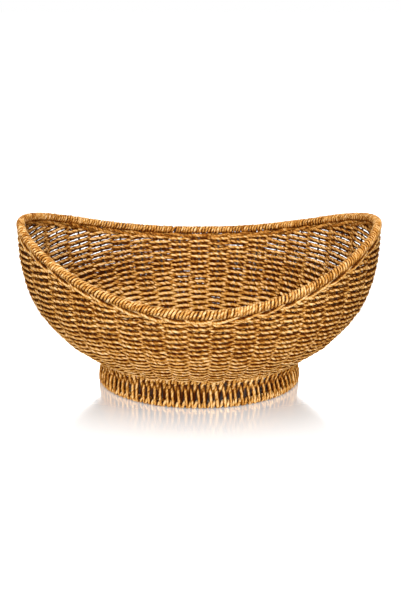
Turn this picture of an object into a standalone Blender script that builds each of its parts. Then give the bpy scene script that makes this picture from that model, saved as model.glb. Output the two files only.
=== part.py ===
"""An oval organizer basket: rope woven over a steel wire frame, on a laced foot ring.

Metres, +Z up, +X along the basket, -Y its front. The origin is on the surface that
the basket stands on, under the middle of its length and width.
"""

import math

import bmesh
import bpy
import numpy as np
from mathutils import Vector

# Rim, along the middle of its wire. It rises from its low middle to both ends.
RIM_HALF_LENGTH = 0.185
RIM_HALF_WIDTH = 0.143
RIM_MIDDLE_HEIGHT = 0.1254
RIM_END_HEIGHT = 0.176
RIM_PLAN_POWER = 1.80
RIM_RISE_POWER = 2.07

# Base, along the middle of the wire hoop that the wall grows out of
BASE_HALF_LENGTH = 0.1046
BASE_HALF_WIDTH = 0.078
BASE_HEIGHT = 0.031

# The wall's curve from base to rim: its lean from upright in degrees at the ends and
# at the sides of the basket, and the reach of its handles as shares of its chord
END_LEAN_AT_BASE = 61.0
SIDE_LEAN_AT_BASE = 53.0
END_LEAN_AT_RIM = -3.0
SIDE_LEAN_AT_RIM = 17.5
BASE_HANDLE_SHARE = 0.54
RIM_HANDLE_SHARE = 0.30

# Wire diameters
RIM_WIRE = 0.0040
HOOP_WIRE = 0.0030
STAKE_WIRE = 0.0024
FLOOR_WIRE = 0.0024
POST_WIRE = 0.0024

# Rope: its thickness where the weave presses it, and on the two wrapped hoops
WEAVE_ROPE = 0.0022
EDGE_ROPE = 0.0022
LACING_ROPE = 0.0024
RIM_WRAP_THICKNESS = 0.0020
FOOT_WRAP_THICKNESS = 0.0016

# How deep the foot's wrapping is pressed flat where the basket stands on it
FOOT_FLAT_DEPTH = 0.0002

# How far up the wall its lower band of rows ends and the upper one begins
LOWER_BAND_HEIGHT = 0.060

# Space kept between pieces that touch, and under the edge row, which crosses the
# wall's slanting top
GAP = 0.0003
EDGE_GAP = 0.0007

# Counts
STAKES = 36
POSTS = 6
FLOOR_WIRES = 7
LACING_TURNS = 90
EDGE_STAKES_OUTSIDE = 3
STEPS_PER_STAKE = 2
LOWER_BAND_LEVELS = 3
UPPER_BAND_LEVELS = 3
WIRE_SIDES = 6
STAKE_SIDES = 5
ROPE_SIDES = 5
TABLE_STEPS = 720
CURVE_STEPS = 96
BISECTIONS = 40

# Corners of a wrapping's section, outside and inside
WRAP_OUTER_CORNERS = 7
WRAP_INNER_CORNERS = 5

# A tunnel round a wire is square in section. The wall's mesh relies on its four corners.
TUNNEL_SIDES = 4

ROPE_COLOUR = (0.43, 0.19, 0.052, 1.0)
RIM_ROPE_COLOUR = (0.52, 0.26, 0.082, 1.0)
WIRE_COLOUR = (0.030, 0.022, 0.016, 1.0)
ROPE_ROUGHNESS = 0.75
WIRE_ROUGHNESS = 0.55
WIRE_METALLIC = 0.6
SMOOTH_ANGLE = 50.0

UP = Vector((0, 0, 1))
RING_STEPS = STAKES * STEPS_PER_STAKE
WEAVE_HALF = STAKE_WIRE / 2 + WEAVE_ROPE
RIM_WRAP_RADIUS = RIM_WIRE / 2 + GAP + RIM_WRAP_THICKNESS
FOOT_WRAP_RADIUS = HOOP_WIRE / 2 + GAP + FOOT_WRAP_THICKNESS
FOOT_HOOP_HEIGHT = FOOT_WRAP_RADIUS - FOOT_FLAT_DEPTH


def clear_scene():
    for obj in list(bpy.data.objects):
        bpy.data.objects.remove(obj, do_unlink=True)


def make_material(name, colour, roughness, metallic):
    material = bpy.data.materials.new(name)
    material.use_nodes = True
    shader = material.node_tree.nodes["Principled BSDF"]
    shader.inputs["Base Color"].default_value = colour
    shader.inputs["Roughness"].default_value = roughness
    shader.inputs["Metallic"].default_value = metallic
    material.diffuse_color = colour
    return material


def rope_material(name, colour=ROPE_COLOUR):
    return make_material(name, colour, ROPE_ROUGHNESS, 0)


def wire_material(name):
    return make_material(name, WIRE_COLOUR, WIRE_ROUGHNESS, WIRE_METALLIC)


def build_mesh(name, points, faces):
    """A closed mesh whose faces point out, smooth except at its sharp edges."""
    mesh = bpy.data.meshes.new(name)
    mesh.from_pydata([tuple(point) for point in points], [], faces)
    shape = bmesh.new()
    shape.from_mesh(mesh)
    bmesh.ops.recalc_face_normals(shape, faces=shape.faces)
    shape.to_mesh(mesh)
    shape.free()
    mesh.shade_smooth()
    mesh.set_sharp_from_angle(angle=math.radians(SMOOTH_ANGLE))
    return mesh


def add_object(name, mesh, material):
    obj = bpy.data.objects.new(name, mesh)
    bpy.context.scene.collection.objects.link(obj)
    if not mesh.materials:
        mesh.materials.append(material)
    return obj


def skin(rings, closed):
    """Points and faces of a skin over rings of equal count: a loop, or a bar with caps."""
    count = len(rings[0])
    points = [point for ring in rings for point in ring]
    faces = []
    for k in range(len(rings) if closed else len(rings) - 1):
        first, second = k * count, (k + 1) % len(rings) * count
        for i in range(count):
            after = (i + 1) % count
            faces.append((first + i, first + after, second + after, second + i))
    if not closed:
        faces.append(tuple(range(count)))
        faces.append(tuple(range(len(points) - count, len(points))))
    return points, faces


def add_tube(name, rings, material, closed=True):
    points, faces = skin(rings, closed)
    return add_object(name, build_mesh(name, points, faces), material)


def regular_section(centre, first, second, radius, sides):
    """Corners of a regular polygon round a centre, in the plane of two unit directions."""
    turns = [math.tau * i / sides for i in range(sides)]
    return [centre + (first * math.cos(t) + second * math.sin(t)) * radius for t in turns]


def tunnel_radius(wire):
    """Radius of a tunnel's corners, so that its flats clear the wire."""
    return (wire / 2 + GAP) / math.cos(math.pi / TUNNEL_SIDES)


def base_table():
    """Angles of the base ellipse, and the share of its length reached at each."""
    angles = np.linspace(0, math.tau, TABLE_STEPS + 1)
    x = BASE_HALF_LENGTH * np.cos(angles)
    y = BASE_HALF_WIDTH * np.sin(angles)
    reached = np.concatenate([[0], np.cumsum(np.hypot(np.diff(x), np.diff(y)))])
    return angles, reached / reached[-1], reached[-1]


BASE_ANGLES, BASE_SHARES, BASE_ROUND = base_table()


def base_angle(share):
    return float(np.interp(share % 1, BASE_SHARES, BASE_ANGLES))


def base_place(share, height):
    """Point of the base ellipse at a share of its length, and its outward direction."""
    angle = base_angle(share)
    point = Vector((BASE_HALF_LENGTH * math.cos(angle), BASE_HALF_WIDTH * math.sin(angle), height))
    outward = Vector((BASE_HALF_WIDTH * math.cos(angle), BASE_HALF_LENGTH * math.sin(angle), 0))
    return point, outward.normalized()


def inside_rim(point):
    """True where a point of the plan lies inside the rim's oval."""
    along = abs(point.x / RIM_HALF_LENGTH) ** RIM_PLAN_POWER
    across = abs(point.y / RIM_HALF_WIDTH) ** RIM_PLAN_POWER
    return along + across < 1


def reach_to_rim(root, outward):
    """Distance in plan from the base hoop straight out to the rim."""
    near, far = 0, RIM_HALF_LENGTH + RIM_HALF_WIDTH
    for _ in range(BISECTIONS):
        middle = (near + far) / 2
        near, far = (middle, far) if inside_rim(root + outward * middle) else (near, middle)
    return near


def rim_height(x):
    rise = RIM_END_HEIGHT - RIM_MIDDLE_HEIGHT
    return RIM_MIDDLE_HEIGHT + rise * abs(x / RIM_HALF_LENGTH) ** RIM_RISE_POWER


def lean_direction(degrees):
    """Outward and upward parts of a line that leans out from upright."""
    return np.array([math.sin(math.radians(degrees)), math.cos(math.radians(degrees))])


class WallLine:
    """The middle line of the wall above one place of the base hoop.

    It is a Bezier curve in the upright plane square to the hoop, from the middle of
    the hoop's wire to the middle of the rim's wire, read by distance along it.
    """

    def __init__(self, share):
        self.root, self.outward = base_place(share, BASE_HEIGHT)
        self.side = UP.cross(self.outward)
        reach = reach_to_rim(self.root, self.outward)
        rise = rim_height((self.root + self.outward * reach).x) - BASE_HEIGHT
        endness = (self.root.x / BASE_HALF_LENGTH) ** 2
        at_base = SIDE_LEAN_AT_BASE + (END_LEAN_AT_BASE - SIDE_LEAN_AT_BASE) * endness
        at_rim = SIDE_LEAN_AT_RIM + (END_LEAN_AT_RIM - SIDE_LEAN_AT_RIM) * endness
        chord = math.hypot(reach, rise)
        start, end = np.zeros(2), np.array([reach, rise])
        first = start + lean_direction(at_base) * BASE_HANDLE_SHARE * chord
        second = end - lean_direction(at_rim) * RIM_HANDLE_SHARE * chord
        t = np.linspace(0, 1, CURVE_STEPS + 1)[:, None]
        weights = ((1 - t) ** 3, 3 * (1 - t) ** 2 * t, 3 * (1 - t) * t**2, t**3)
        self.path = sum(w * p for w, p in zip(weights, (start, first, second, end)))
        steps = np.linalg.norm(np.diff(self.path, axis=0), axis=1)
        self.reached = np.concatenate([[0], np.cumsum(steps)])
        self.length = float(self.reached[-1])

    def direction(self, distance):
        """Unit direction up the wall."""
        k = int(np.clip(np.searchsorted(self.reached, distance), 1, CURVE_STEPS))
        out, up = self.path[k] - self.path[k - 1]
        return (self.outward * float(out) + UP * float(up)).normalized()

    def normal(self, distance):
        """Unit direction square to the wall, pointing out of the basket."""
        return self.side.cross(self.direction(distance))

    def at(self, distance, offset=0):
        """Point at a distance up the wall, moved out of the basket by an offset."""
        out = float(np.interp(distance, self.reached, self.path[:, 0]))
        up = float(np.interp(distance, self.reached, self.path[:, 1]))
        return self.root + self.outward * out + UP * up + self.normal(distance) * offset


LINES = [WallLine(j / RING_STEPS) for j in range(RING_STEPS)]
RIM_POINTS = [line.at(line.length) for line in LINES]


def rim_tangent(j):
    return (RIM_POINTS[(j + 1) % RING_STEPS] - RIM_POINTS[j - 1]).normalized()


def rim_frame(j):
    """Directions square to the rim's wire: down the wall, and across it."""
    tangent = rim_tangent(j)
    down = -LINES[j].direction(LINES[j].length)
    down = (down - tangent * down.dot(tangent)).normalized()
    return down, tangent.cross(down)


def rim_squareness(j):
    """Cosine of the angle by which the wall's line misses being square to the rim."""
    down, _ = rim_frame(j)
    return -down.dot(LINES[j].direction(LINES[j].length))


def below_rim(j, clearance):
    """Distance up wall line j at which it is a clearance away from the rim's middle."""
    return LINES[j].length - clearance / rim_squareness(j)


WALL_START = HOOP_WIRE / 2 + GAP
WALL_CLEARANCE = RIM_WRAP_RADIUS + GAP + EDGE_ROPE + EDGE_GAP
EDGE_CLEARANCE = RIM_WRAP_RADIUS + GAP + EDGE_ROPE / 2


def even_levels(low, high, count):
    return [low + (high - low) * k / count for k in range(count + 1)]


def lower_band(j):
    """Distances up wall line j at which the lower band of the weave has its levels."""
    return even_levels(WALL_START, LOWER_BAND_HEIGHT - GAP / 2, LOWER_BAND_LEVELS)


def upper_band(j):
    end = below_rim(j, WALL_CLEARANCE)
    return even_levels(LOWER_BAND_HEIGHT + GAP / 2, end, UPPER_BAND_LEVELS)


def stake_bends(j):
    """Distances at which a stake bends: the levels of both bands, as one where they meet."""
    return lower_band(j)[:-1] + [LOWER_BAND_HEIGHT] + upper_band(j)[1:]


def add_rim_wire():
    rings = []
    for j, centre in enumerate(RIM_POINTS):
        down, across = rim_frame(j)
        rings.append(regular_section(centre, down, across, RIM_WIRE / 2, WIRE_SIDES))
    add_tube("rim_hoop_wire", rings, wire_material("rim_wire_steel"))


def add_hoop(name, height):
    rings = []
    for j in range(RING_STEPS):
        centre, outward = base_place(j / RING_STEPS, height)
        rings.append(regular_section(centre, UP, outward, HOOP_WIRE / 2, WIRE_SIDES))
    add_tube(name, rings, wire_material(name + "_steel"))


def add_stakes():
    """Upright wires that carry the weave, from the base hoop to the rim's wire."""
    material = wire_material("stake_steel")
    for i in range(STAKES):
        j = i * STEPS_PER_STAKE
        line = LINES[j]
        square = rim_squareness(j)
        slant = math.sqrt(max(0, 1 - square**2))
        top = below_rim(j, RIM_WIRE / 2 + GAP + STAKE_WIRE / 2 * slant)
        rings = []
        for distance in stake_bends(j) + [top]:
            normal = line.normal(distance)
            centre = line.at(distance)
            rings.append(regular_section(centre, normal, line.side, STAKE_WIRE / 2, STAKE_SIDES))
        add_tube(f"stake_{i + 1:02d}", rings, material, closed=False)


def add_wall_band(name, band, material):
    """A band of the woven wall: a curved shell with a tunnel along every stake."""
    tunnel = tunnel_radius(STAKE_WIRE)
    points, outer, inner, bores = [], [], [], []
    levels = [band(j) for j in range(RING_STEPS)]
    top = len(levels[0]) - 1

    def put(point):
        points.append(point)
        return len(points) - 1

    for k in range(top + 1):
        outer.append([put(LINES[j].at(levels[j][k], WEAVE_HALF)) for j in range(RING_STEPS)])
        inner.append([put(LINES[j].at(levels[j][k], -WEAVE_HALF)) for j in range(RING_STEPS)])
        bores.append([])
        for j in range(0, RING_STEPS, STEPS_PER_STAKE):
            line, distance = LINES[j], levels[j][k]
            directions = line.normal(distance), line.side
            section = regular_section(line.at(distance), *directions, tunnel, TUNNEL_SIDES)
            bores[k].append([put(point) for point in section])

    faces = []
    for k in range(top):
        for loop in (outer, inner):
            for j in range(RING_STEPS):
                after = (j + 1) % RING_STEPS
                faces.append((loop[k][j], loop[k][after], loop[k + 1][after], loop[k + 1][j]))
        for low, high in zip(bores[k], bores[k + 1]):
            for i in range(TUNNEL_SIDES):
                after = (i + 1) % TUNNEL_SIDES
                faces.append((low[i], low[after], high[after], high[i]))
    for k in (0, top):
        for i, (out, left, back, right) in enumerate(bores[k]):
            j = i * STEPS_PER_STAKE
            before, after = j - 1, (j + 1) % RING_STEPS
            faces.append((outer[k][before], outer[k][j], out, right))
            faces.append((outer[k][j], outer[k][after], left, out))
            faces.append((outer[k][after], inner[k][after], left))
            faces.append((inner[k][after], inner[k][j], back, left))
            faces.append((inner[k][j], inner[k][before], right, back))
            faces.append((inner[k][before], outer[k][before], right))
    add_object(name, build_mesh(name, points, faces), material)


def add_wall_weave():
    material = rope_material("wall_rope")
    add_wall_band("wall_weave_lower", lower_band, material)
    add_wall_band("wall_weave_upper", upper_band, material)


def add_edge_row():
    """The last row under the rim: outside some stakes in a row, then inside one."""
    lift = STAKE_WIRE / 2 + GAP + EDGE_ROPE / 2
    repeat = EDGE_STAKES_OUTSIDE + 1
    at_stake = [-lift if i % repeat == EDGE_STAKES_OUTSIDE else lift for i in range(STAKES)]
    centres = []
    for j in range(RING_STEPS):
        before = at_stake[j // STEPS_PER_STAKE]
        after = at_stake[-(-j // STEPS_PER_STAKE) % STAKES]
        distance = below_rim(j, EDGE_CLEARANCE)
        centres.append(LINES[j].at(distance, (before + after) / 2))
    rings = []
    for j, centre in enumerate(centres):
        tangent = (centres[(j + 1) % RING_STEPS] - centres[j - 1]).normalized()
        out = LINES[j].normal(LINES[j].length)
        out = (out - tangent * out.dot(tangent)).normalized()
        rings.append(regular_section(centre, out, tangent.cross(out), EDGE_ROPE / 2, ROPE_SIDES))
    add_tube("edge_row", rings, rope_material("edge_rope"))


def wrap_section(centre, slit_way, across, outer_turns, inner_turns, outer_radius, inner_radius):
    """Section of rope wrapped round a wire, open on the side where other wires join it."""
    places = [(turn, outer_radius) for turn in outer_turns]
    places += [(turn, inner_radius) for turn in reversed(inner_turns)]
    return [centre + (slit_way * math.cos(t) + across * math.sin(t)) * r for t, r in places]


def even_turns(first, count):
    """Angles from the slit's one edge round to its other edge."""
    return [first + (math.tau - 2 * first) * i / (count - 1) for i in range(count)]


def bore_radius(wire, slit, corners):
    """Radius of the corners of a bore with flats, so that its flats clear the wire."""
    half_flat = (math.pi - slit) / (corners - 1)
    return (wire / 2 + GAP) / math.cos(half_flat)


def add_rim_wrap():
    """Two cords wound round the rim's wire, slit below where the stakes come in.

    They meet in the middle of the front and of the back.
    """
    slit = math.asin((STAKE_WIRE / 2 + GAP) / (RIM_WIRE / 2 + GAP))
    bore = bore_radius(RIM_WIRE, slit, WRAP_INNER_CORNERS)
    outer_turns = even_turns(slit, WRAP_OUTER_CORNERS)
    inner_turns = even_turns(slit, WRAP_INNER_CORNERS)
    material = rope_material("rim_rope", RIM_ROPE_COLOUR)
    for name, first in (("rim_wrap_left", RING_STEPS // 4), ("rim_wrap_right", 3 * RING_STEPS // 4)):
        last = first + RING_STEPS // 2
        rings = []
        for place in range(first, last + 1):
            j = place % RING_STEPS
            down, across = rim_frame(j)
            shift = {first: GAP / 2, last: -GAP / 2}.get(place, 0)
            centre = RIM_POINTS[j] + rim_tangent(j) * shift
            turns = (outer_turns, inner_turns)
            rings.append(wrap_section(centre, down, across, *turns, RIM_WRAP_RADIUS, bore))
        add_tube(name, rings, material, closed=False)


def add_foot_ring_wrap():
    """Rope wound round the foot's hoop, slit above for the posts and flat below."""
    slit = math.asin(min(1, (POST_WIRE / 2 + GAP) / (HOOP_WIRE / 2 + GAP)))
    bore = bore_radius(HOOP_WIRE, slit, WRAP_INNER_CORNERS)
    flat = math.acos(FOOT_HOOP_HEIGHT / FOOT_WRAP_RADIUS)
    shoulder = (slit + math.pi - flat) / 2
    half = [slit, shoulder, math.pi - flat]
    outer_turns = half + [math.tau - turn for turn in reversed(half)]
    inner_turns = even_turns(slit, WRAP_INNER_CORNERS)
    rings = []
    for j in range(RING_STEPS):
        centre, outward = base_place(j / RING_STEPS, FOOT_HOOP_HEIGHT)
        turns = (outer_turns, inner_turns)
        rings.append(wrap_section(centre, UP, outward, *turns, FOOT_WRAP_RADIUS, bore))
    add_tube("foot_ring_wrap", rings, rope_material("foot_ring_rope"))


def add_posts():
    """Short upright wires between the foot's hoop and the base hoop."""
    low = FOOT_HOOP_HEIGHT + HOOP_WIRE / 2 + GAP
    high = BASE_HEIGHT - HOOP_WIRE / 2 - GAP
    along, across = Vector((1, 0, 0)), Vector((0, 1, 0))
    rings = [
        regular_section(UP * height, along, across, POST_WIRE / 2, WIRE_SIDES)
        for height in (low, high)
    ]
    points, faces = skin(rings, closed=False)
    mesh = build_mesh("foot_post", points, faces)
    material = wire_material("post_steel")
    for i in range(POSTS):
        place, outward = base_place(i / POSTS, 0)
        post = add_object(f"foot_post_{i + 1}", mesh, material)
        post.location = place
        post.rotation_euler.z = math.atan2(outward.y, outward.x)


def add_foot_lacing():
    """Rope laced up and down round the foot, between its ring and the woven wall.

    Its legs meet in a narrow bend at the top and at the bottom. Each bend is a flat
    as wide as the rope, and a notch, so that the legs stay one rope wide.
    """
    back = POST_WIRE / 2 + GAP
    front = back + LACING_ROPE
    low = FOOT_HOOP_HEIGHT + FOOT_WRAP_RADIUS + GAP
    wall_foot = min(line.at(WALL_START, WEAVE_HALF).z for line in LINES)
    high = wall_foot - GAP
    pitch = BASE_ROUND / LACING_TURNS
    notch_share = LACING_ROPE / pitch
    notch = (high - low) * notch_share
    half = LACING_ROPE / 2 / BASE_ROUND
    bends = 2 * LACING_TURNS
    points, faces = [], []
    for i in range(bends):
        share = i / bends
        height, inside = (low, low + notch) if i % 2 else (high, high - notch)
        corners = ((share - half, height), (share + half, height), (share, inside))
        for depth in (front, back):
            for place_share, z in corners:
                place, outward = base_place(place_share, z)
                points.append(place + outward * depth)
    front_face, back_face = (0, 1, 2), (3, 4, 5)
    for i in range(bends):
        here, after = 6 * i, 6 * ((i + 1) % bends)
        for before, behind, notched in (front_face, back_face):
            faces.append((here + before, here + behind, here + notched))
            faces.append((here + behind, here + notched, after + before, after + notched))
        faces.append((here + 0, here + 1, here + 4, here + 3))
        faces.append((here + 1, here + 4, after + 5, after + 2))
        faces.append((here + 2, here + 5, after + 3, after + 0))
    add_object("foot_lacing", build_mesh("foot_lacing", points, faces), rope_material("lacing_rope"))


def floor_wire_half(x):
    """Half the length of a floor wire, which stops short of the base hoop."""
    side = abs(x) + FLOOR_WIRE / 2
    share = side / BASE_HALF_LENGTH
    y = BASE_HALF_WIDTH * math.sqrt(1 - share**2)
    outward = Vector((side / BASE_HALF_LENGTH**2, y / BASE_HALF_WIDTH**2)).normalized()
    return y - (HOOP_WIRE / 2 + GAP) / outward.y


def floor_wire_places():
    spacing = 2 * BASE_HALF_LENGTH / (FLOOR_WIRES + 1)
    return [spacing * (i - (FLOOR_WIRES - 1) / 2) for i in range(FLOOR_WIRES)]


def floor_bar(x, half, radius, sides):
    """Rings of a bar across the floor, level with the base hoop."""
    along = Vector((1, 0, 0))
    ends = [Vector((x, y, BASE_HEIGHT)) for y in (-half, half)]
    return [regular_section(end, along, UP, radius, sides) for end in ends]


def add_floor():
    """Wires across the base hoop, and the rope woven over and under them."""
    steel = wire_material("floor_wire_steel")
    outline = []
    for j in range(RING_STEPS):
        place, outward = base_place(j / RING_STEPS, BASE_HEIGHT)
        outline.append(place - outward * (HOOP_WIRE / 2 + GAP))
    half_thickness = FLOOR_WIRE / 2 + WEAVE_ROPE
    rings = [[point + UP * lift for point in outline] for lift in (-half_thickness, half_thickness)]
    weave = add_tube("floor_weave", rings, rope_material("floor_rope"), closed=False)
    bore = tunnel_radius(FLOOR_WIRE)
    for i, x in enumerate(floor_wire_places()):
        half = floor_wire_half(x)
        rings = floor_bar(x, half, FLOOR_WIRE / 2, WIRE_SIDES)
        add_tube(f"floor_wire_{i + 1}", rings, steel, closed=False)
        cutter_name = f"floor_cutter_{i + 1}"
        cutter_rings = floor_bar(x, BASE_HALF_WIDTH, bore, TUNNEL_SIDES)
        cutter = add_tube(cutter_name, cutter_rings, steel, closed=False)
        cutter.hide_render = True
        cutter.display_type = "WIRE"
        cut = weave.modifiers.new(cutter_name, "BOOLEAN")
        cut.operation = "DIFFERENCE"
        cut.solver = "EXACT"
        cut.object = cutter


clear_scene()
add_rim_wire()
add_hoop("base_hoop_wire", BASE_HEIGHT)
add_hoop("foot_hoop_wire", FOOT_HOOP_HEIGHT)
add_posts()
add_stakes()
add_floor()
add_wall_weave()
add_edge_row()
add_rim_wrap()
add_foot_ring_wrap()
add_foot_lacing()
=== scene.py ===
import math

import bpy
import numpy as np
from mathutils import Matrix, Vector


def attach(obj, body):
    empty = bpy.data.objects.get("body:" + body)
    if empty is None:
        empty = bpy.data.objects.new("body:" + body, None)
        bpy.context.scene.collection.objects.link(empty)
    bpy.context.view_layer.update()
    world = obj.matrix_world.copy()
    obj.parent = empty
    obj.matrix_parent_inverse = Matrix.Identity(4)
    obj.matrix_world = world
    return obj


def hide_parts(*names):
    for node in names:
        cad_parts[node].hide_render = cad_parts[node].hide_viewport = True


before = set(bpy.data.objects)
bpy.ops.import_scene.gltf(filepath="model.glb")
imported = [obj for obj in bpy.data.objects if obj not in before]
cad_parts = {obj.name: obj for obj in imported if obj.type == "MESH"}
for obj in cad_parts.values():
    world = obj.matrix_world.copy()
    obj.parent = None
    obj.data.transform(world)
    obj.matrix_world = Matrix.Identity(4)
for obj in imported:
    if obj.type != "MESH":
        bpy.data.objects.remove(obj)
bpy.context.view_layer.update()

# The basket's form, with the names and values of the part's source, in metres and degrees
RIM_HALF_LENGTH = 0.185
RIM_HALF_WIDTH = 0.143
RIM_MIDDLE_HEIGHT = 0.1254
RIM_END_HEIGHT = 0.176
RIM_PLAN_POWER = 1.80
RIM_RISE_POWER = 2.07
BASE_HALF_LENGTH = 0.1046
BASE_HALF_WIDTH = 0.078
BASE_HEIGHT = 0.031
END_LEAN_AT_BASE = 61.0
SIDE_LEAN_AT_BASE = 53.0
END_LEAN_AT_RIM = -3.0
SIDE_LEAN_AT_RIM = 17.5
BASE_HANDLE_SHARE = 0.54
RIM_HANDLE_SHARE = 0.30
RIM_WIRE = 0.0040
HOOP_WIRE = 0.0030
STAKE_WIRE = 0.0024
FLOOR_WIRE = 0.0024
FOOT_HOOP_HEIGHT = 0.0032
STAKES = 36
FLOOR_WIRES = 7
LACING_TURNS = 90

# Two-strand rope of the wall: half its thickness across both strands, the length of one
# twist, and the spacing of the rows up the wall
ROPE_HALF = 0.00248
ROPE_DEPTH_SHARE = 0.88
ROPE_LAY = 0.0135
LAY_DRIFT = 0.55
ROW_PITCH = 0.00312
FIRST_ROW = 0.0046
ROW_SWING = 0.0018
ROW_SQUARENESS = 1.45
ROW_CLEARANCE = 0.0092
CROSSING_SHARE = 0.84
TUCK_SHARE = 0.80
SHORTEST_RUN = 8
TAIL_STEPS = 4
TAIL_THINNEST = 0.15

# The lowest rows lie further apart, and their rope is as much thicker: how many rows up this
# fades, and how many rows fewer the wall has for it
WIDER_ROWS = 6
ROWS_LEFT_OUT = 2.4

# Slow waves that neighbouring rows share: turns round the basket, change up the wall, start
# and size
ROW_WAVES = (
    (3, 55, 0.3, 0.00055),
    (7, 38, 1.9, 0.00045),
    (13, 90, 4.1, 0.00035),
    (23, 130, 2.2, 0.00025),
)

# The other ropes
EDGE_ROPES = 2
EDGE_HALF = 0.00235
EDGE_CLEARANCE = 0.0067
EDGE_SWING = 0.0021
EDGE_CROSSING = 0.0018
EDGE_TURNOVER = 0.15
CORD_LAY = 0.012
CORD_DEPTH_SHARE = 0.9
FLOOR_ROPE_HALF = 0.0017
FLOOR_ROPE_PRESS = 0.8
LACING_HALF = 0.00180
LACING_PRESS = 0.9
RING_ROPE_HALF = 0.00175
RING_ROPE_PRESS = 0.8
RING_DEPTH_SHARE = 0.8
RIM_CORDS = 2
RIM_CORD_ACROSS = 0.00170
RIM_CORD_DEPTH = 0.00135
RIM_TURN_PITCH = 0.0033
RIM_SLANT = 0.5
RIM_DRIFT = 0.35
RIM_DRIFT_KNOTS = 60
# Painted shade on the underside of the rim's winding: where it starts and is full, by how far a
# turn faces down the wall, and its strength
RIM_UNDER = (0.30, 0.78)
RIM_UNDER_PAINTED_SHADE = 0.38
LEG_SQUARENESS = 0.8
LEG_CROSSING = 0.60
LEG_SIDE_TURN = 0.3
# Painted shade on the legs where they run inside the hoops: its strength, and from how far out it
# starts
LEG_INSIDE_PAINTED_SHADE = 0.80
LEG_INSIDE_FROM = 0.3
LEG_TOP_FULLNESS = 0.25
LEG_TOP_FROM = 0.5

# Where the rim's winding parts and shows the wire: places along the rim, and the width of the
# gap. The softness is how far beside it, in turns squared, the winding is pushed aside.
RIM_GAPS = ((0.7495, 0.0009), (0.2570, 0.0005), (0.2790, 0.0020))
RIM_GAP_SOFTNESS = 12

# Random unevenness: knots round the basket or along the rope, and size. A lone number is a
# size, with its knots counted where it is used.
ROW_BULGE_NOISE = (STAKES, 0.10)
ROW_LEVEL_NOISE = (2 * STAKES, 0.00020)
ROW_SIZE_NOISE = (60, 0.045)
ROW_TONE_NOISE = (24, 0.05)
ROW_TONE_SPREAD = 0.03
EDGE_LEVEL_NOISE = (60, 0.00030)
EDGE_SIZE_NOISE = (40, 0.07)
EDGE_TONE_NOISE = (24, 0.06)
EDGE_TONE = 0.05
RIM_PLACE_NOISE = 0.06
RIM_SIZE_NOISE = 0.08
RIM_TONE_NOISE = 0.06
RIM_SLOW_TONE_NOISE = (50, 0.04)
LEG_PLACE_NOISE = (2 * LACING_TURNS, 0.08)
LEG_SIZE_NOISE = (2 * LACING_TURNS, 0.09)
LEG_TONE_NOISE = (LACING_TURNS, 0.06)
RING_PLACE_NOISE = (LACING_TURNS, 0.06)
RING_SIZE_NOISE = (LACING_TURNS, 0.08)
RING_TONE_NOISE = (LACING_TURNS, 0.06)
FLOOR_LEVEL_NOISE = (12, 0.0002)
FLOOR_TONE_NOISE = (300, 0.05)

# Steps of the meshes
COLUMNS_PER_STAKE = 24
TABLE_STEPS = 1440
CURVE_STEPS = 120
BISECTIONS = 40
STEPS_PER_RIM_TURN = 16
STEPS_PER_LACING_TURN = 56
STEPS_PER_RING_TURN = 20
FLOOR_STEP = 0.0012
FEWEST_FLOOR_STEPS = 4
WALL_BANDS = 6
LOW_BANDS = 2
SEED = 7

# Margin of each strip in the layout for baking, and how far along its pattern of tones a rope
# may start, in metres
BAKE_MARGIN = 0.06
FARTHEST_START = 9

# High up on the wall ropes are slimmer and swing further: shares of their size, swing,
# thickness where they cross a stake, and painted flank shade
HIGH_FULLNESS = 0.80
HIGH_SWING = 1.37
HIGH_CROSSING = 0.95
HIGH_FLANK = 0.68

# Where that is so: shares of the wall's height between which it comes, its strength from the
# middle of the long sides, 0, to the two ends, 1, and from the front, -1, to the back, 1
HIGH_SHARES = (0.48, 0.68)
HIGH_PLACES = (0.0, 0.15, 0.7, 1.0)
HIGH_STRENGTHS = (0.75, 1.0, 1.0, 0.2)
HIGH_SIDES = (-0.6, 0.2)
HIGH_FRONT = 0.25

# How much of a rope counts as its painted shaded flank, by share of the wall's height
FLANK_SHARES = (0.15, 0.35, 0.45, 0.60)
FLANK_SIZES = (1.25, 1.05, 0.90, 1.35)

# Painted shade on what lies deep between ropes: distances from the wall's middle at which it is
# full and gone
CREVICE_FULL = 0.0004
CREVICE_GONE = 0.0017

# Painted shade on a cord's side that faces what it is wound on: how fast it grows, and where
CORE_SLOPE = 2
CORE_START = 0.5

# Painted shade on a rope's flanks, where rows meet: where it starts and is full, from 0 on the
# rope's outer side to 1 on its flank, and its strength. EDGE_INSIDE is the strength of the
# painted shade on the edge ropes' side that faces into the basket
WALL_ABOVE = (0.64, 0.90, 0.90)
LOW_ABOVE = (0.62, 0.82, 1.25)
EDGE_ABOVE = (0.35, 0.80, 1.00)
WALL_BELOW = (0.56, 0.88, 1.00)
CORD_FLANK = (0.50, 0.95, 0.70)
RIM_FLANK = (0.58, 0.93, 0.72)
EDGE_INSIDE = 0.62

# Section of two strands side by side: how far each of its corners reaches
SECTION_SHARES = (1.0, 0.94, 0.80, 0.94, 1.0, 0.94, 0.80, 0.94)
CORD_SECTION_SHARES = (1.0, 0.96, 0.88, 0.96, 1.0, 0.96, 0.88, 0.96)

UP = np.array([0.0, 0.0, 1.0])
COLUMNS = STAKES * COLUMNS_PER_STAKE
RNG = np.random.default_rng(SEED)


def unit(vectors):
    return vectors / np.linalg.norm(vectors, axis=-1, keepdims=True)


def flat(vectors):
    """Plan vectors with a height of zero."""
    return np.concatenate([vectors, np.zeros((len(vectors), 1))], axis=1)


def base_table():
    angles = np.linspace(0, math.tau, TABLE_STEPS + 1)
    steps = np.hypot(
        np.diff(BASE_HALF_LENGTH * np.cos(angles)), np.diff(BASE_HALF_WIDTH * np.sin(angles))
    )
    reached = np.concatenate([[0], np.cumsum(steps)])
    return angles, reached / reached[-1], reached[-1]


BASE_ANGLES, BASE_SHARES, BASE_ROUND = base_table()


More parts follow.
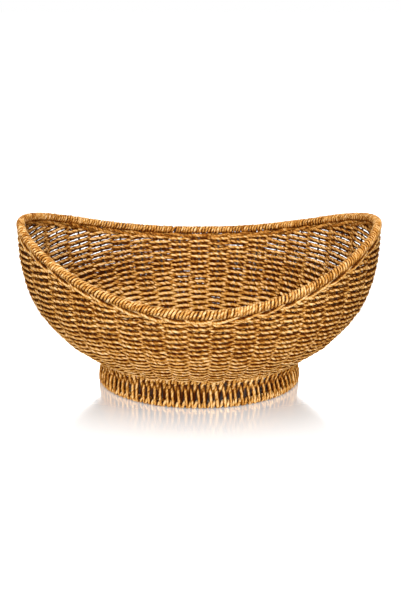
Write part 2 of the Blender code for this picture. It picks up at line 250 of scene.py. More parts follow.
def base_places(shares):
    """Plan points of the base ellipse at shares of its length, and outward directions."""
    angle = np.interp(shares % 1, BASE_SHARES, BASE_ANGLES)
    cos, sin = np.cos(angle), np.sin(angle)
    place = np.stack([BASE_HALF_LENGTH * cos, BASE_HALF_WIDTH * sin], axis=-1)
    outward = np.stack([BASE_HALF_WIDTH * cos, BASE_HALF_LENGTH * sin], axis=-1)
    return place, unit(outward)


def reach_to_rim(root, outward):
    """Distance in plan from the base hoop straight out to the rim."""
    near = np.zeros(len(root))
    far = np.full(len(root), RIM_HALF_LENGTH + RIM_HALF_WIDTH)
    halves = np.array([RIM_HALF_LENGTH, RIM_HALF_WIDTH])
    for _ in range(BISECTIONS):
        middle = (near + far) / 2
        place = root + outward * middle[:, None]
        inside = (np.abs(place / halves) ** RIM_PLAN_POWER).sum(axis=1) < 1
        near, far = np.where(inside, middle, near), np.where(inside, far, middle)
    return near


def lean_direction(degrees):
    turn = np.radians(degrees)
    return np.stack([np.sin(turn), np.cos(turn)], axis=-1)


class Wall:
    """The middle surface of the wall, over even places of the base hoop.

    Each column is a Bezier curve in the upright plane square to the hoop, from the
    hoop's wire to the rim's, with its points at even distances along it.
    """

    def __init__(self):
        shares = np.arange(COLUMNS) / COLUMNS
        self.root, self.outward = base_places(shares)
        reach = reach_to_rim(self.root, self.outward)
        x = self.root[:, 0] + self.outward[:, 0] * reach
        rise = RIM_END_HEIGHT - RIM_MIDDLE_HEIGHT
        height = RIM_MIDDLE_HEIGHT + rise * np.abs(x / RIM_HALF_LENGTH) ** RIM_RISE_POWER
        end = np.stack([reach, height - BASE_HEIGHT], axis=-1)
        chord = np.linalg.norm(end, axis=1, keepdims=True)
        endness = (self.root[:, 0] / BASE_HALF_LENGTH) ** 2
        at_base = SIDE_LEAN_AT_BASE + (END_LEAN_AT_BASE - SIDE_LEAN_AT_BASE) * endness
        at_rim = SIDE_LEAN_AT_RIM + (END_LEAN_AT_RIM - SIDE_LEAN_AT_RIM) * endness
        first = lean_direction(at_base) * BASE_HANDLE_SHARE * chord
        second = end - lean_direction(at_rim) * RIM_HANDLE_SHARE * chord
        t = np.linspace(0, 1, CURVE_STEPS + 1)[None, :, None]
        curve = 3 * (1 - t) ** 2 * t * first[:, None] + 3 * (1 - t) * t**2 * second[:, None]
        curve = curve + t**3 * end[:, None]
        steps = np.linalg.norm(np.diff(curve, axis=1), axis=2)
        reached = np.concatenate([np.zeros((COLUMNS, 1)), np.cumsum(steps, axis=1)], axis=1)
        self.length = reached[:, -1]
        even = np.linspace(0, 1, CURVE_STEPS + 1)
        self.path = np.empty_like(curve)
        for column in range(COLUMNS):
            at = even * self.length[column]
            for axis in range(2):
                self.path[column, :, axis] = np.interp(at, reached[column], curve[column, :, axis])
        self.direction = unit(np.gradient(self.path, axis=1))

    def at(self, column, distance, offset):
        """Points up the wall, moved out of the basket by an offset, and the wall's normals."""
        along = np.clip(distance / self.length[column], 0, 1) * CURVE_STEPS
        low = np.minimum(along.astype(int), CURVE_STEPS - 1)
        part = (along - low)[:, None]
        place = self.path[column, low] * (1 - part) + self.path[column, low + 1] * part
        way = self.direction[column, low] * (1 - part) + self.direction[column, low + 1] * part
        outward = flat(self.outward[column])
        normal = unit(outward * way[:, 1:] - UP * way[:, :1])
        point = flat(self.root[column]) + outward * place[:, :1] + UP * (place[:, 1:] + BASE_HEIGHT)
        return point + normal * np.asarray(offset)[..., None], normal


WALL = Wall()
ALL_COLUMNS = np.arange(COLUMNS)
RIM_POINTS, RIM_NORMALS = WALL.at(ALL_COLUMNS, WALL.length, np.zeros(COLUMNS))


def rim_frame():
    """Directions square to the rim's wire: down the wall, and across it. Also how square."""
    tangent = unit(np.roll(RIM_POINTS, -1, axis=0) - np.roll(RIM_POINTS, 1, axis=0))
    way = WALL.direction[:, -1]
    down = -(flat(WALL.outward) * way[:, :1] + UP * way[:, 1:])
    square = down - tangent * (tangent * down).sum(axis=1, keepdims=True)
    squareness = np.linalg.norm(square, axis=1)
    square = unit(square)
    return square, np.cross(tangent, square), squareness


RIM_DOWN, RIM_ACROSS, RIM_SQUARENESS = rim_frame()


def below_rim(clearance):
    """Distance up each column at which it is a clearance away from the rim's middle."""
    return WALL.length - clearance / RIM_SQUARENESS


def smooth_noise(places, count, size, closed=True):
    """Random heights at even knots, joined smoothly. Places run from 0 to 1."""
    knots = RNG.normal(0, size, count + (0 if closed else 1))
    at = places * count
    low = np.floor(at).astype(int)
    part = at - low
    part = part * part * (3 - 2 * part)
    if closed:
        return knots[low % count] * (1 - part) + knots[(low + 1) % count] * part
    low = np.clip(low, 0, count - 1)
    return knots[low] * (1 - part) + knots[low + 1] * part


class Rope:
    """One run of rope: its middle line, and at each point a side direction and a size."""

    def __init__(
        self,
        path,
        side,
        half,
        closed=True,
        lay=ROPE_LAY,
        tone=0.0,
        depth=1.0,
        offset=None,
        core=1.0,
        flank=1.0,
    ):
        self.path, self.side, self.closed = path, side, closed
        self.offset, self.core = offset, core
        self.flank = np.broadcast_to(flank, len(path)).astype(float)
        self.half = np.broadcast_to(half, len(path)).astype(float)
        self.depth = np.broadcast_to(depth, len(path)).astype(float)
        self.tone = np.broadcast_to(tone, len(path)).astype(float)
        after = np.roll(path, -1, axis=0)
        steps = np.linalg.norm(after - path, axis=1)
        self.reached = np.concatenate([[0], np.cumsum(steps[:-1])])
        round_length = self.reached[-1] + (steps[-1] if closed else 0)
        twists = max(1, round(round_length / lay)) if closed else round_length / lay
        at = self.reached / round_length
        self.twist = math.tau * twists * at + RNG.uniform(0, math.tau)
        self.twist = self.twist + smooth_noise(at, max(2, 2 * int(twists)), LAY_DRIFT, closed)

    def tangents(self):
        if self.closed:
            return unit(np.roll(self.path, -1, axis=0) - np.roll(self.path, 1, axis=0))
        return unit(np.gradient(self.path, axis=0))

    def rings(self, shares):
        """Corners of the rope's section at each point of its middle line."""
        tangent = self.tangents()
        side = unit(self.side - tangent * (self.side * tangent).sum(axis=1, keepdims=True))
        across = np.cross(tangent, side)
        corner = math.tau * np.arange(len(shares)) / len(shares)
        turn = corner[None] + self.twist[:, None]
        reach = np.array(shares)[None] * self.half[:, None]
        out = np.cos(turn) * reach * self.depth[:, None]
        points = self.path[:, None] + out[..., None] * side[:, None]
        points = points + (np.sin(turn) * reach)[..., None] * across[:, None]
        around = np.stack([np.cos(turn), np.sin(turn) * self.flank[:, None], 0 * turn], axis=-1)
        return points, self.shade(np.cos(turn)), around

    def shade(self, out):
        """Painted shade: how deep in a crevice each corner lies, or how much it faces its core, by
        how far out it faces.
        """
        if self.offset is None:
            return np.clip(-CORE_SLOPE * out - CORE_START, 0, 1) * self.core
        height = np.abs(self.offset[:, None] + out * (self.half * self.depth)[:, None])
        return np.clip((CREVICE_GONE - height) / (CREVICE_GONE - CREVICE_FULL), 0, 1)


def rope_faces(ropes, corners):
    """Faces of all ropes, and the ring and corner that each face starts from."""
    quads, starts = [], []
    first = 0
    for rope in ropes:
        count = len(rope.path)
        ring = np.arange(count if rope.closed else count - 1)
        a, b = np.meshgrid(ring, np.arange(corners), indexing="ij")
        after_ring, after_corner = (a + 1) % count, (b + 1) % corners
        quad = np.stack(
            [
                a * corners + b,
                after_ring * corners + b,
                after_ring * corners + after_corner,
                a * corners + after_corner,
            ],
            axis=-1,
        )
        quads.append(quad.reshape(-1, 4) + first * corners)
        starts.append(np.stack([a.ravel() + first, b.ravel()], axis=-1))
        first += count
    return np.concatenate(quads), np.concatenate(starts)


def bake_places(starts, rings, corners):
    """A flat layout of the ropes in strips side by side, for a baked texture."""
    strips = max(1, round(math.sqrt(rings / corners)))
    per_strip = math.ceil(rings / strips)
    ring, corner = starts[:, 0], starts[:, 1]
    strip, along = ring // per_strip, ring % per_strip
    inside = 1 - 2 * BAKE_MARGIN
    low = (strip + BAKE_MARGIN + inside * corner / corners) / strips
    high = low + inside / corners / strips
    start, end = along / per_strip, (along + 1) / per_strip
    u = np.stack([low, low, high, high], axis=-1)
    v = np.stack([start, end, end, start], axis=-1)
    return np.stack([u, v], axis=-1)


def add_attribute(mesh, name, kind, values):
    """Values held by each point of a mesh, for its material."""
    held = mesh.attributes.new(name, kind, "POINT")
    field = "vector" if kind == "FLOAT_VECTOR" else "value"
    held.data.foreach_set(field, values.astype(np.float32).ravel())


def add_ropes(name, ropes, material, nodes, shares=SECTION_SHARES, floor=None):
    """One piece of rope runs, which stands for CAD nodes."""
    corners = len(shares)
    rings = [rope.rings(shares) for rope in ropes]
    points, shade, around = (np.concatenate(kind) for kind in zip(*rings))
    if floor is not None:
        points[..., 2] = np.maximum(points[..., 2], floor)
    faces, starts = rope_faces(ropes, corners)
    caps, first = [], 0
    for rope in ropes:
        count = len(rope.path)
        if not rope.closed:
            caps.append([(first * corners) + k for k in range(corners)])
            caps.append([(first + count - 1) * corners + k for k in reversed(range(corners))])
        first += count
    mesh = bpy.data.meshes.new(name)
    loops = [faces.ravel()] + [np.array(cap) for cap in caps]
    totals = np.concatenate([np.full(len(faces), 4), np.full(len(caps), corners)]).astype(int)
    loop_vertices = np.concatenate(loops)
    mesh.vertices.add(points.shape[0] * corners)
    mesh.vertices.foreach_set("co", points.astype(np.float32).ravel())
    mesh.loops.add(len(loop_vertices))
    mesh.loops.foreach_set("vertex_index", loop_vertices.astype(np.int32))
    mesh.polygons.add(len(totals))
    loop_starts = np.concatenate([[0], np.cumsum(totals)[:-1]])
    mesh.polygons.foreach_set("loop_start", loop_starts.astype(np.int32))
    mesh.polygons.foreach_set("use_smooth", np.ones(len(totals), bool))
    mesh.update(calc_edges=True)

    corner = math.tau * np.arange(corners) / corners
    along = np.concatenate([rope.reached + RNG.uniform(0, FARTHEST_START) for rope in ropes])
    place = np.empty((len(along), corners, 3))
    place[..., 0] = along[:, None]
    place[..., 1] = np.cos(corner)[None]
    place[..., 2] = np.sin(corner)[None]
    tone = np.repeat(np.concatenate([rope.tone for rope in ropes]), corners)
    add_attribute(mesh, "rope_place", "FLOAT_VECTOR", place)
    add_attribute(mesh, "rope_tone", "FLOAT", tone)
    add_attribute(mesh, "rope_shade", "FLOAT", shade)
    add_attribute(mesh, "rope_around", "FLOAT_VECTOR", around)

    layout = mesh.uv_layers.new(name="OFBake")
    uv = bake_places(starts, len(along), corners).reshape(-1, 2)
    uv = np.concatenate([uv, np.zeros((len(loop_vertices) - len(uv), 2))])
    layout.uv.foreach_set("vector", uv.astype(np.float32).ravel())

    piece = bpy.data.objects.new(name, mesh)
    bpy.context.scene.collection.objects.link(piece)
    mesh.materials.append(material)
    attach(piece, "root")
    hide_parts(*nodes)
    return piece


# Materials


def new_material(name):
    material = bpy.data.materials.new(name)
    material.use_nodes = True
    return material, material.node_tree, material.node_tree.nodes["Principled BSDF"]


def add_node(tree, kind, **values):
    node = tree.nodes.new(kind)
    for name, value in values.items():
        setattr(node, name, value)
    return node


def link(tree, source, target):
    tree.links.new(source, target)


def add_noise(tree, vector, scale, detail=3.0, roughness=0.6):
    node = add_node(tree, "ShaderNodeTexNoise")
    node.inputs["Scale"].default_value = scale
    node.inputs["Detail"].default_value = detail
    node.inputs["Roughness"].default_value = roughness
    link(tree, vector, node.inputs["Vector"])
    return node.outputs["Fac"]


def add_math(tree, operation, first, second):
    """A math node. Each operand is a socket or a number."""
    node = add_node(tree, "ShaderNodeMath", operation=operation)
    for socket, value in zip(node.inputs, (first, second)):
        if isinstance(value, (int, float)):
            socket.default_value = value
        else:
            link(tree, value, socket)
    return node.outputs["Value"]


def add_scaled(tree, vector, scale):
    node = add_node(tree, "ShaderNodeMapping", vector_type="POINT")
    node.inputs["Scale"].default_value = scale
    link(tree, vector, node.inputs["Vector"])
    return node.outputs["Vector"]


def add_range(tree, value, low, high, to_low, to_high):
    node = add_node(tree, "ShaderNodeMapRange")
    for name, number in zip(
        ("From Min", "From Max", "To Min", "To Max"), (low, high, to_low, to_high)
    ):
        node.inputs[name].default_value = number
    link(tree, value, node.inputs["Value"])
    return node.outputs["Result"]


def add_ramp(tree, value, stops):
    ramp = add_node(tree, "ShaderNodeValToRGB")
    elements = ramp.color_ramp.elements
    while len(elements) < len(stops):
        elements.new(1.0)
    for element, (place, colour) in zip(elements, stops):
        element.position = place
        element.color = (*colour, 1.0)
    link(tree, value, ramp.inputs["Fac"])
    return ramp.outputs["Color"]


# Rope colours by tone, from the dark brown that painted shade in crevices, grooves and flanks
# mostly reaches, to the palest fibres
ROPE_STOPS = (
    (0.02, (0.060, 0.011, 0.001)),
    (0.30, (0.315, 0.102, 0.010)),
    (0.56, (0.590, 0.297, 0.060)),
    (0.90, (0.890, 0.620, 0.320)),
)
RIM_STOPS = (
    (0.02, (0.080, 0.016, 0.001)),
    (0.30, (0.310, 0.105, 0.010)),
    (0.56, (0.590, 0.310, 0.078)),
    (0.90, (0.880, 0.630, 0.370)),
)
WIRE_STOPS = ((0.35, (0.012, 0.009, 0.008)), (0.65, (0.060, 0.026, 0.012)))

# Noises of the rope's tone, the fibres first: stretch along and round the strand, then scale,
# detail and roughness, then how much the noise moves the tone
ROPE_NOISES = (
    ((110, 1.0, 1.0), (3.2, 4.0, 0.7), 0.32),
    ((90, 0.8, 0.8), (2.5, 2.0, 0.5), 0.22),
    ((60, 0.5, 0.5), (1.0, 2.0, 0.5), 0.14),
    ((400, 1.5, 1.5), (2.5, 2.0, 0.5), 0.20),
)
NOISE_SPAN = (0.3, 0.7)
MIDDLE_TONE = 0.60
# How far painted shade lowers the tone at full strength, and where round the section the painted
# shade of the grooves between strands starts and is full
SHADE_STRENGTH = 0.60
GROOVE_SPAN = (0.65, 1.0)
ROPE_ROUGHNESS = (0.82, 0.55)
ROPE_GLOSS = 0.03
ROPE_BUMP = (0.5, 0.0004)
WIRE_GRAIN = 900.0
WIRE_ROUGHNESS = (0.35, 0.6)
WIRE_METALLIC = 0.5
WIRE_BUMP = (0.2, 0.0001)


def add_bump(tree, shader, height, strength, distance):
    bump = add_node(tree, "ShaderNodeBump")
    bump.inputs["Strength"].default_value = strength
    bump.inputs["Distance"].default_value = distance
    link(tree, height, bump.inputs["Height"])
    link(tree, bump.outputs["Normal"], shader.inputs["Normal"])


def add_flank_shade(tree, above, below):
    """Painted shade on a rope's flanks, by the direction in which each point faces."""
    around = add_node(tree, "ShaderNodeAttribute", attribute_name="rope_around")
    even = add_node(tree, "ShaderNodeVectorMath", operation="NORMALIZE")
    link(tree, around.outputs["Vector"], even.inputs[0])
    split = add_node(tree, "ShaderNodeSeparateXYZ")
    link(tree, even.outputs["Vector"], split.inputs["Vector"])
    start, full, strength = above
    upper = add_range(tree, split.outputs["Y"], -full, -start, strength, 0.0)
    start, full, strength = below
    lower = add_range(tree, split.outputs["Y"], start, full, 0.0, strength)
    return add_math(tree, "MAXIMUM", upper, lower)


def rope_material(
    name, stops, light=0.0, above=CORD_FLANK, below=CORD_FLANK, groove_depth=0.10, streaks=1.0
):
    """Twisted plant fibre: streaks along the strands, patches of tone, and painted shade in
    crevices, on flanks and in the grooves between strands.
    """
    material, tree, shader = new_material(name)
    place = add_node(tree, "ShaderNodeAttribute", attribute_name="rope_place").outputs["Vector"]
    tone = add_node(tree, "ShaderNodeAttribute", attribute_name="rope_tone").outputs["Fac"]
    level = add_math(tree, "ADD", tone, MIDDLE_TONE + light)
    noises = []
    for stretch, kind, size in ROPE_NOISES:
        noises.append(add_noise(tree, add_scaled(tree, place, stretch), *kind))
        change = add_range(tree, noises[-1], *NOISE_SPAN, -size * streaks, size * streaks)
        level = add_math(tree, "ADD", level, change)
    fibre = noises[0]
    shade = add_node(tree, "ShaderNodeAttribute", attribute_name="rope_shade").outputs["Fac"]
    shade = add_math(tree, "MAXIMUM", shade, add_flank_shade(tree, above, below))
    shade = add_range(tree, shade, 0.0, 1.0, 0.0, SHADE_STRENGTH)
    level = add_math(tree, "SUBTRACT", level, shade)
    split = add_node(tree, "ShaderNodeSeparateXYZ")
    link(tree, place, split.inputs["Vector"])
    groove = add_math(tree, "ABSOLUTE", split.outputs["Z"], 0)
    groove = add_range(tree, groove, *GROOVE_SPAN, 0.0, groove_depth)
    level = add_math(tree, "SUBTRACT", level, groove)
    link(tree, add_ramp(tree, level, stops), shader.inputs["Base Color"])
    roughness = add_range(tree, fibre, *NOISE_SPAN, *ROPE_ROUGHNESS)
    link(tree, roughness, shader.inputs["Roughness"])
    shader.inputs["Specular IOR Level"].default_value = ROPE_GLOSS
    add_bump(tree, shader, fibre, *ROPE_BUMP)
    return material


def wire_material():
    """Dark lacquered steel, a little rusty brown."""
    material, tree, shader = new_material("dark_wire")
    place = add_node(tree, "ShaderNodeTexCoord").outputs["Object"]
    grain = add_noise(tree, place, WIRE_GRAIN)
    link(tree, add_ramp(tree, grain, WIRE_STOPS), shader.inputs["Base Color"])
    roughness = add_range(tree, grain, *NOISE_SPAN, *WIRE_ROUGHNESS)
    link(tree, roughness, shader.inputs["Roughness"])
    shader.inputs["Metallic"].default_value = WIRE_METALLIC
    add_bump(tree, shader, grain, *WIRE_BUMP)
    return material


# The wall


def stake_phase(columns):
    return columns / COLUMNS_PER_STAKE


def rows_drift(columns, distance):
    """The slow waviness that rows share with their neighbours."""
    share = columns / COLUMNS * math.tau
    return sum(
        size * np.sin(turns * share + rise * distance + start)
        for turns, rise, start, size in ROW_WAVES
    )


def row_path(row, columns, distance):
    """A row that passes outside one stake and inside the next."""
    places = columns / COLUMNS
    swing = np.cos(math.pi * (stake_phase(columns) + row))
    swing = np.tanh(ROW_SQUARENESS * swing) / math.tanh(ROW_SQUARENESS)
    bulge = ROW_SWING * (1 + smooth_noise(places, *ROW_BULGE_NOISE))
    along = distance + rows_drift(columns, distance) + smooth_noise(places, *ROW_LEVEL_NOISE)
    return along, swing * bulge


def runs_of(mask):
    """Runs of neighbouring columns round the basket where the mask holds."""
    start = int(np.argmin(mask))
    rolled = np.roll(mask, -start)
    edges = np.flatnonzero(np.diff(np.concatenate([[False], rolled, [False]]).astype(int)))
    return [np.arange(a, b) + start for a, b in zip(edges[::2], edges[1::2])]


def highness(columns, level):
    """How much each place of a row belongs to the high part of the wall."""
    share = level / WALL.length[columns]
    endness = np.abs(WALL.root[columns, 0] / BASE_HALF_LENGTH) ** 2
    high = np.interp(endness, HIGH_PLACES, HIGH_STRENGTHS) * np.interp(share, HIGH_SHARES, (0, 1))
    return high * np.interp(WALL.root[columns, 1] / BASE_HALF_WIDTH, HIGH_SIDES, (HIGH_FRONT, 1))


def row_place(row):
    """How far up a row lies, in pitches: the lowest rows lie further apart."""
    return row + ROWS_LEFT_OUT * (1 - np.exp(-row / WIDER_ROWS))


def wall_rope(row, run, level, wider, limit, whole):
    """One run of a row, along columns of the wall, no higher than a limit under the rim."""
    columns = run % COLUMNS
    places = columns / COLUMNS
    along, offset = row_path(row, columns, np.full(len(run), level))
    phase = np.abs(np.cos(math.pi * (stake_phase(columns) + row)))
    high = highness(columns, level)
    crossing = CROSSING_SHARE + (HIGH_CROSSING - CROSSING_SHARE) * high
    half = ROPE_HALF * wider * (crossing + (1 - crossing) * np.sqrt(phase))
    half = half * (1 + smooth_noise(places, *ROW_SIZE_NOISE))
    half = half * (1 + (HIGH_FULLNESS - 1) * high)
    offset = offset * (1 + (HIGH_SWING - 1) * high)
    along = np.minimum(along, limit[columns])
    if not whole:
        end = np.minimum(np.arange(len(run)), np.arange(len(run))[::-1]) / TAIL_STEPS
        end = np.clip(end, 0, 1)
        offset = offset * end
        half = half * np.sqrt(np.clip(end, TAIL_THINNEST, 1))
    path, normal = WALL.at(columns, along, offset)
    tone = smooth_noise(places, *ROW_TONE_NOISE) + RNG.normal(0, ROW_TONE_SPREAD)
    # Size of the painted flank shade, by height up the wall and by highness
    flank = np.interp(level / WALL.length[columns], FLANK_SHARES, FLANK_SIZES)
    flank = flank * (1 + (HIGH_FLANK - 1) * high)
    shape = {"tone": tone, "depth": ROPE_DEPTH_SHARE, "offset": offset, "flank": flank}
    return Rope(path, normal, half, closed=whole, **shape)


def wall_ropes():
    """Rows round the whole wall, then shorter ones at both ends, up to the rim."""
    limit = below_rim(ROW_CLEARANCE)
    whole_rows = round((limit.min() - FIRST_ROW) / ROW_PITCH - ROWS_LEFT_OUT) + 1
    pitch = (limit.min() - FIRST_ROW) / row_place(whole_rows - 1)
    rows = []
    for row in range(2 * whole_rows):
        level = FIRST_ROW + row_place(row) * pitch
        wider = row_place(row + 0.5) - row_place(row - 0.5)
        whole = row < whole_rows
        mask = level - pitch * TUCK_SHARE < limit
        for run in [ALL_COLUMNS] if whole else runs_of(mask):
            if len(run) >= SHORTEST_RUN:
                rows.append(wall_rope(row, run, level, wider, limit, whole))
    return rows


WALL_NODES = [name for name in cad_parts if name.startswith("wall_weave")]
RIM_NODES = [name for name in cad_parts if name.startswith("rim_wrap")]


def add_wall():
    ropes = wall_ropes()
    sizes = np.cumsum([len(rope.path) for rope in ropes])
    band = np.minimum((sizes - 1) * WALL_BANDS // sizes[-1], WALL_BANDS - 1)
    # Two wall materials that differ in the strength of their painted flank and groove shade and of
    # their streaks: one for the lowest rows, one for the rest
    look = {"light": 0.02, "above": LOW_ABOVE, "below": WALL_BELOW}
    low = rope_material("low_wall_rope", ROPE_STOPS, **look, groove_depth=0.12, streaks=0.8)
    look["above"] = WALL_ABOVE
    high = rope_material("wall_rope", ROPE_STOPS, **look, groove_depth=0.34)
    for k in range(WALL_BANDS):
        members = [rope for rope, number in zip(ropes, band) if number == k]
        material, shares = (low, CORD_SECTION_SHARES) if k < LOW_BANDS else (high, SECTION_SHARES)
        add_ropes(f"wall_rows_{k + 1}", members, material, WALL_NODES, shares)


def edge_rope(number):
    """One of the two ropes of the last row, which pass outside and inside by turns.

    Where they change places, the rope that goes in passes above the other.
    """
    places = ALL_COLUMNS / COLUMNS
    turn = math.pi * (stake_phase(ALL_COLUMNS) + number)
    swing = np.tanh(ROW_SQUARENESS * np.cos(turn)) / math.tanh(ROW_SQUARENESS)
    tilt = np.tanh(WALL.root[:, 0] / BASE_HALF_LENGTH / EDGE_TURNOVER)
    distance = below_rim(EDGE_CLEARANCE) + EDGE_CROSSING * tilt * np.sin(turn)
    distance = distance + smooth_noise(places, *EDGE_LEVEL_NOISE)
    path, normal = WALL.at(ALL_COLUMNS, distance, EDGE_SWING * swing)
    half = EDGE_HALF * (1 + smooth_noise(places, *EDGE_SIZE_NOISE))
    tone = smooth_noise(places, *EDGE_TONE_NOISE) + EDGE_TONE
    # Painted shade on the ropes' side that faces into the basket
    return Rope(path, normal, half, tone=tone, depth=CORD_DEPTH_SHARE, core=EDGE_INSIDE)


def add_edge_row():
    """The last row, a pair of ropes that follows the rim."""
    ropes = [edge_rope(number) for number in range(EDGE_ROPES)]
    look = {"light": 0.06, "above": EDGE_ABOVE, "below": WALL_BELOW}
    material = rope_material("edge_rope", ROPE_STOPS, **look, groove_depth=0.18)
    add_ropes("edge_rope", ropes, material, ["edge_row"], CORD_SECTION_SHARES)


# The rim


def rim_reader():
    """Reads the rim's middle line and frame by share of its length."""
    closed = np.concatenate([RIM_POINTS, RIM_POINTS[:1]])
    reached = np.concatenate([[0], np.cumsum(np.linalg.norm(np.diff(closed, axis=0), axis=1))])

    def read(share, values):
        ring = np.concatenate([values, values[:1]])
        at = share % 1 * reached[-1]
        return np.stack([np.interp(at, reached, ring[:, k]) for k in range(3)], axis=-1)

    return read, reached[-1]


def rim_cord(number, read, length, drift):
    """One of the cords wound side by side round the rim's wire."""
    turns = round(length / RIM_TURN_PITCH / RIM_CORDS)
    visible = turns * RIM_CORDS
    steps = turns * STEPS_PER_RIM_TURN
    at = np.arange(steps) / steps
    turn = math.tau * (number / RIM_CORDS - at * turns)
    share = at - RIM_SLANT / (math.tau * turns) * np.sin(turn - math.pi)
    share = share + (smooth_noise(at, visible, RIM_PLACE_NOISE) + drift(at)) / visible
    for place, width in RIM_GAPS:
        spread = (share - place) * visible
        aside = np.exp(-(spread**2) / RIM_GAP_SOFTNESS)
        share = share + np.sign(spread) * width / length / 2 * aside
    radius = RIM_WIRE / 2 + RIM_CORD_DEPTH * (1 + smooth_noise(at, visible, RIM_SIZE_NOISE))
    way = np.cos(turn)[:, None] * unit(read(share, RIM_DOWN))
    way = way + np.sin(turn)[:, None] * unit(read(share, RIM_ACROSS))
    path = read(share, RIM_POINTS) + way * radius[:, None]
    across = RIM_CORD_ACROSS * (1 + smooth_noise(at, visible, RIM_SIZE_NOISE))
    depth = RIM_CORD_DEPTH / RIM_CORD_ACROSS
    tone = smooth_noise(at, turns, RIM_TONE_NOISE) + smooth_noise(at, *RIM_SLOW_TONE_NOISE)
    # Painted shade on the part of each turn that faces down the wall
    tone = tone - np.interp(np.cos(turn), RIM_UNDER, (0, RIM_UNDER_PAINTED_SHADE))
    return Rope(path, way, across, tone=tone, depth=depth, lay=CORD_LAY)


def add_rim():
    """Cords wound round the rim's wire."""
    read, length = rim_reader()
    places = np.linspace(0, 1, RIM_DRIFT_KNOTS, endpoint=False)
    heights = RNG.normal(0, RIM_DRIFT, RIM_DRIFT_KNOTS)

    def drift(at):
        return np.interp(at, places, heights, period=1)

    ropes = [rim_cord(number, read, length, drift) for number in range(RIM_CORDS)]
    look = {"light": -0.06, "above": RIM_FLANK, "below": RIM_FLANK}
    material = rope_material("rim_cord", RIM_STOPS, **look, groove_depth=0.20, streaks=0.8)
    add_ropes("rim_winding", ropes, material, RIM_NODES, CORD_SECTION_SHARES)


# The foot


def add_lacing():
    """Rope laced round the base hoop and the foot's hoop in a figure of eight.

    Each leg starts outside one hoop and ends inside the other, so that the legs cross
    halfway and leave two tiers of openings.
    """
    steps = LACING_TURNS * STEPS_PER_LACING_TURN
    at = np.arange(steps) / steps
    turn = at * LACING_TURNS % 1
    radius = HOOP_WIRE / 2 + LACING_HALF * LACING_PRESS
    low, high = FOOT_HOOP_HEIGHT, BASE_HEIGHT
    leg, bend = high - low, math.pi * radius
    travel = turn * 2 * (leg + bend)
    down = travel / leg
    under = (travel - leg) / radius
    up = (travel - leg - bend) / leg
    over = (travel - 2 * leg - bend) / radius
    parts = [down < 1, under < math.pi, up < 1]
    early = math.log(0.5) / math.log(1 - LEG_CROSSING)
    late = math.log(0.5) / math.log(LEG_CROSSING)
    cross_down = np.cos(math.pi * np.clip(down, 0, 1) ** early)
    cross_up = np.cos(math.pi * np.clip(up, 0, 1) ** late)
    square = math.tanh(LEG_SQUARENESS)
    out = np.select(
        parts,
        [
            np.tanh(LEG_SQUARENESS * cross_down) / square,
            -np.cos(under),
            np.tanh(LEG_SQUARENESS * cross_up) / square,
        ],
        -np.cos(over),
    )
    lift = np.select(parts, [0 * at, -np.sin(under), 0 * at], np.sin(over))
    height = np.select(parts, [high - leg * down, 0 * at + low, low + leg * up], high)
    share = -at + smooth_noise(at, *LEG_PLACE_NOISE) / LACING_TURNS
    place, outward = base_places(share)
    outward = flat(outward)
    path = flat(place) + outward * (out * radius)[:, None]
    path = path + UP * (height + lift * radius)[:, None]
    inward = outward * np.where(out < 0, -1, 1)[:, None]
    side = inward * LEG_SIDE_TURN + outward * (1 - LEG_SIDE_TURN) + UP * lift[:, None]
    half = LACING_HALF * (1 + smooth_noise(at, *LEG_SIZE_NOISE))
    top = np.clip(2 * (height - low) / (high - low) - 1, 0, 1) * np.clip(out + LEG_TOP_FROM, 0, 1)
    half = half * (1 + LEG_TOP_FULLNESS * top)
    # Painted shade on the part of each leg that runs inside the hoops
    inside = np.clip(LEG_INSIDE_FROM - out, 0, 1)
    tone = smooth_noise(at, *LEG_TONE_NOISE) - LEG_INSIDE_PAINTED_SHADE * inside
    rope = Rope(path, side, half, tone=tone, lay=CORD_LAY, core=0.0)
    material = rope_material("lacing_rope", ROPE_STOPS, light=-0.05)
    ropes = [rope, hoop_winding(BASE_HEIGHT - HOOP_WIRE / 2, place_share=0.5)]
    shares = CORD_SECTION_SHARES
    add_ropes("lacing", ropes, material, ["foot_lacing"], shares, floor=0.0)


def hoop_winding(height, place_share):
    """Cord wound round a hoop, a turn between one turn of the lacing and the next."""
    steps = LACING_TURNS * STEPS_PER_RING_TURN
    at = np.arange(steps) / steps
    turn = at * LACING_TURNS * math.tau
    radius = HOOP_WIRE / 2 + RING_ROPE_HALF * RING_ROPE_PRESS
    share = at + (place_share + smooth_noise(at, *RING_PLACE_NOISE)) / LACING_TURNS
    place, outward = base_places(share)
    way = flat(outward) * np.cos(turn)[:, None] + UP * np.sin(turn)[:, None]
    path = flat(place) + UP * height + way * radius
    half = RING_ROPE_HALF * (1 + smooth_noise(at, *RING_SIZE_NOISE))
    tone = smooth_noise(at, *RING_TONE_NOISE)
    return Rope(path, way, half, tone=tone, depth=RING_DEPTH_SHARE)


def add_foot_ring():
    material = rope_material("foot_ring_rope", ROPE_STOPS, light=0.05)
    rope = hoop_winding(FOOT_HOOP_HEIGHT, place_share=0)
    shares = CORD_SECTION_SHARES
    add_ropes("foot_ring", [rope], material, ["foot_ring_wrap"], shares, floor=0.0)


# The floor of the basket


